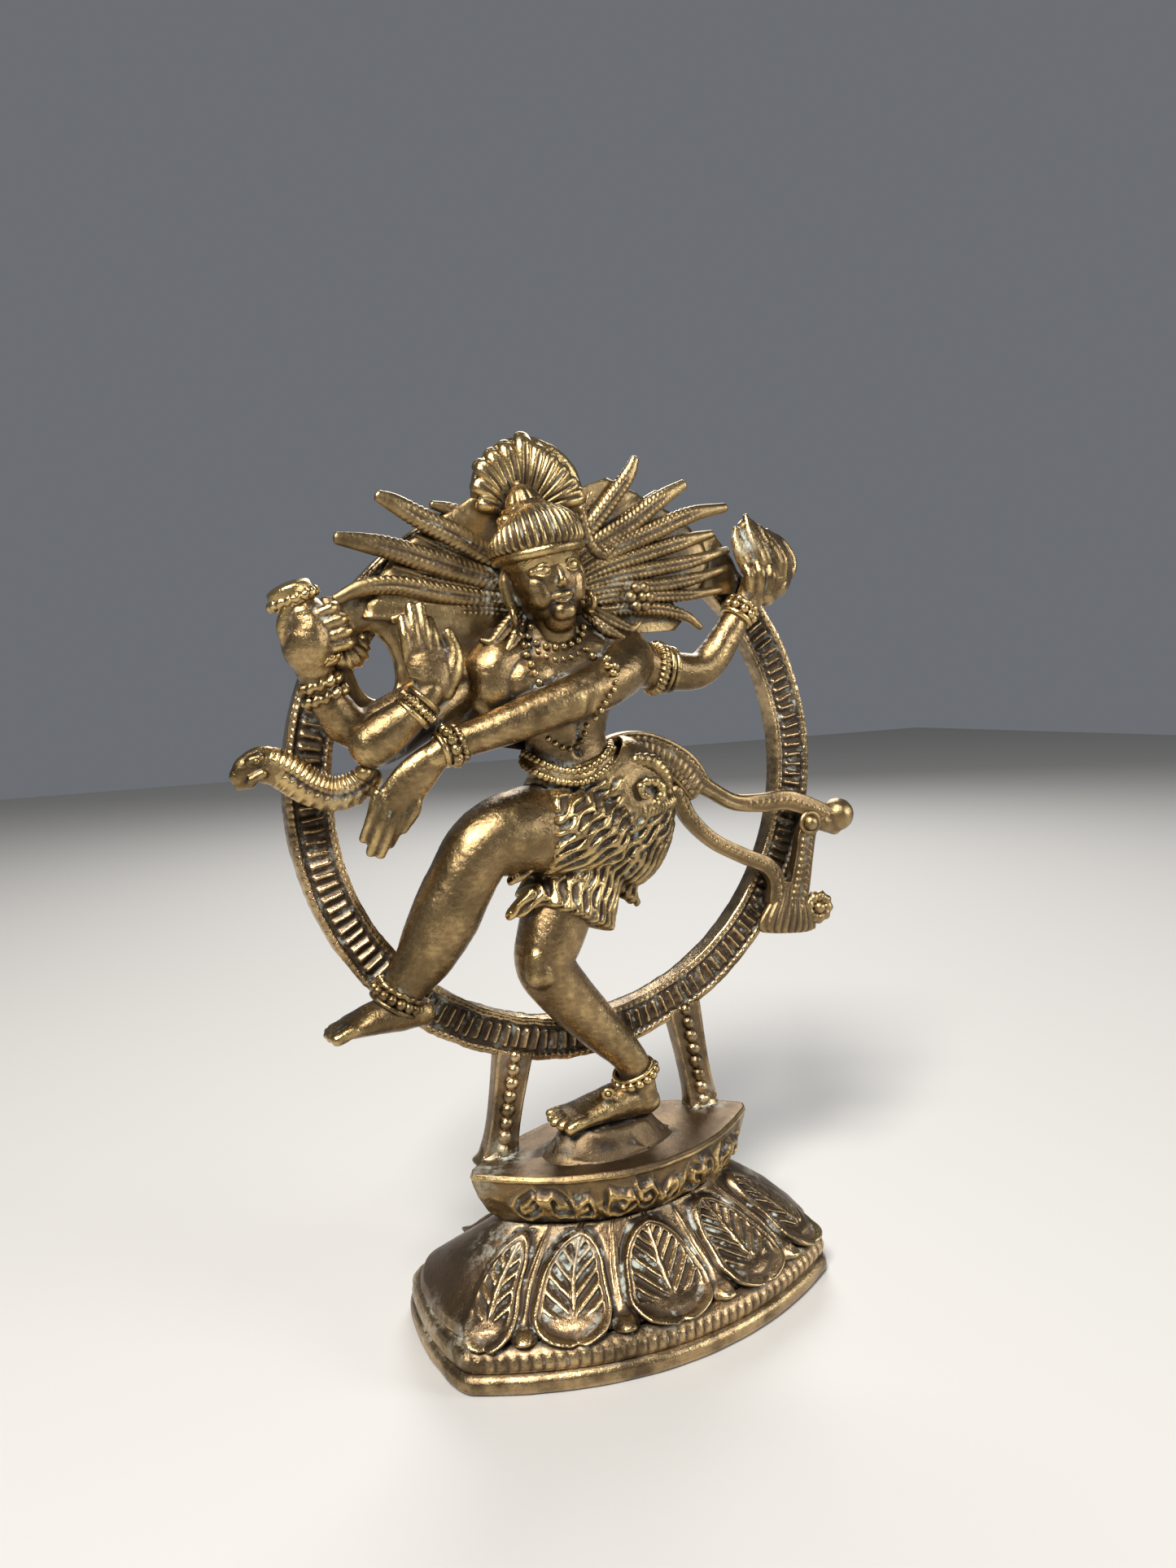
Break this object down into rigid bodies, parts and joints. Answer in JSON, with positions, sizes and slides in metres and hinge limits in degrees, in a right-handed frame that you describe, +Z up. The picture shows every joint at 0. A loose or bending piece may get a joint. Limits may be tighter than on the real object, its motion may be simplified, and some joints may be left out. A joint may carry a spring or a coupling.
{
  "type": "brass nataraja statue",
  "caption": "Cast brass figure of a four-armed dancer balancing on one leg inside an upright ring, on a boat-shaped lotus pedestal; stands free on a flat base.",
  "frame": {"origin": "on the resting plane, under the centre of the ring, which is also the middle of the whole piece left to right and front to back", "axes": "+Z up, +X to the viewer's right as seen from the front, +Y towards the back (the figure faces -Y)"},
  "size_m": [0.1404, 0.06, 0.183],
  "materials": {
    "base_brass": "worn, dark brown patina with warm high points",
    "bowl_brass": "worn, yellower brass on the relief, dull brown deck",
    "ring_brass": "worn, coppery brown patina",
    "figure_brass": "hand-rubbed, golden high points over brown patina"
  },
  "bodies": {
    "root": {"arm_cross": "figure_brass", "arm_drum": "figure_brass", "arm_flame": "figure_brass", "arm_palm": "figure_brass", "armlet": "figure_brass", "bangle_cross": "figure_brass", "bangle_drum": "figure_brass", "bangle_flame": "figure_brass", "bangle_palm": "figure_brass", "base_plate": "base_brass", "bead_moulding": "base_brass", "belt": "figure_brass", "crown_fan": "figure_brass", "diadem": "figure_brass", "drum": "figure_brass", "earring": "figure_brass", "flame": "figure_brass", "foot_block": "bowl_brass", "hair_left": "figure_brass", "hair_right": "figure_brass", "head": "figure_brass", "lotus_petals": "base_brass", "lotus_tier": "base_brass", "necklace": "figure_brass", "pedestal_bowl": "bowl_brass", "post_left": "ring_brass", "post_right": "ring_brass", "raised_anklet": "figure_brass", "raised_foot": "figure_brass", "raised_leg": "figure_brass", "ring": "ring_brass", "sash_band": "figure_brass", "sash_lower": "figure_brass", "sash_upper": "figure_brass", "serpent": "figure_brass", "skirt": "figure_brass", "skirt_hem": "figure_brass", "standing_anklet": "figure_brass", "standing_foot": "figure_brass", "standing_leg": "figure_brass", "topknot": "figure_brass", "torso": "figure_brass", "web_left": "figure_brass"}
  },
  "joints": []
}
